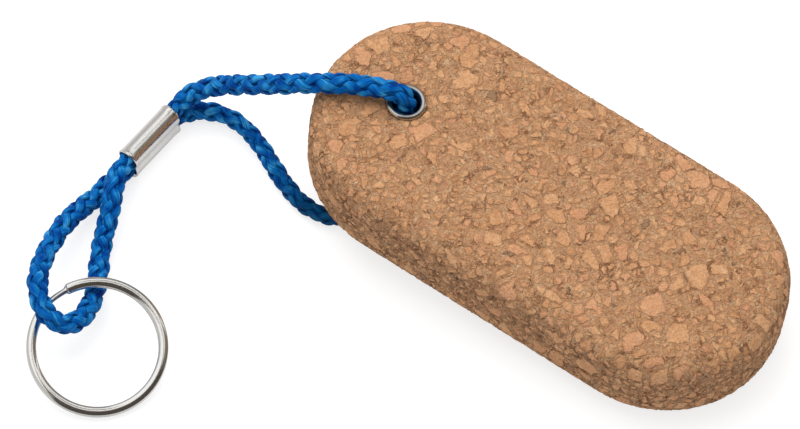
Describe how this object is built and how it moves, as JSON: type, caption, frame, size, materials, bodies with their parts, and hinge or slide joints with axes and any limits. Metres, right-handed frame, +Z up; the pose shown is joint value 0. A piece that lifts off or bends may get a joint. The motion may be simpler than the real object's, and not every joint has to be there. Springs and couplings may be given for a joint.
{
  "type": "cork float keychain",
  "caption": "Floating key holder: an oval cork tag on a loop of braided cord, which a crimped metal sleeve closes, with a split key ring on the cord's smaller loop.",
  "frame": {"origin": "on the table, under the middle of the box round the tag, the eyelets, the ferrule and the ring as they lie", "axes": "+X from the ring towards the free end of the tag as the picture shows it, +Y away from the camera, +Z up from the table"},
  "size_m": [0.1612, 0.0856, 0.0329],
  "materials": {
    "cork": "agglomerated cork granules, cut and sanded, dry and matt",
    "eyelet_metal": "bright nickel plate on rolled sheet",
    "cord_braid": "royal blue braided polypropylene or polyester, slightly glossy strands",
    "ferrule_metal": "bright plated sheet, crimped",
    "ring_steel": "nickel plated spring steel, polished"
  },
  "bodies": {
    "keyring": {"cork_float": "cork", "eyelet_front": "eyelet_metal", "eyelet_back": "eyelet_metal", "cord": "cord_braid", "ferrule": "ferrule_metal"},
    "ring": {"split_ring": "ring_steel"}
  },
  "joints": [
    {"name": "ring_spin", "type": "hinge", "parent": "keyring", "child": "ring", "pos_m": [-0.0656, -0.02767, 0.00564], "axis": [0.08, -0.2985, 0.9511], "continuous": true}
  ]
}
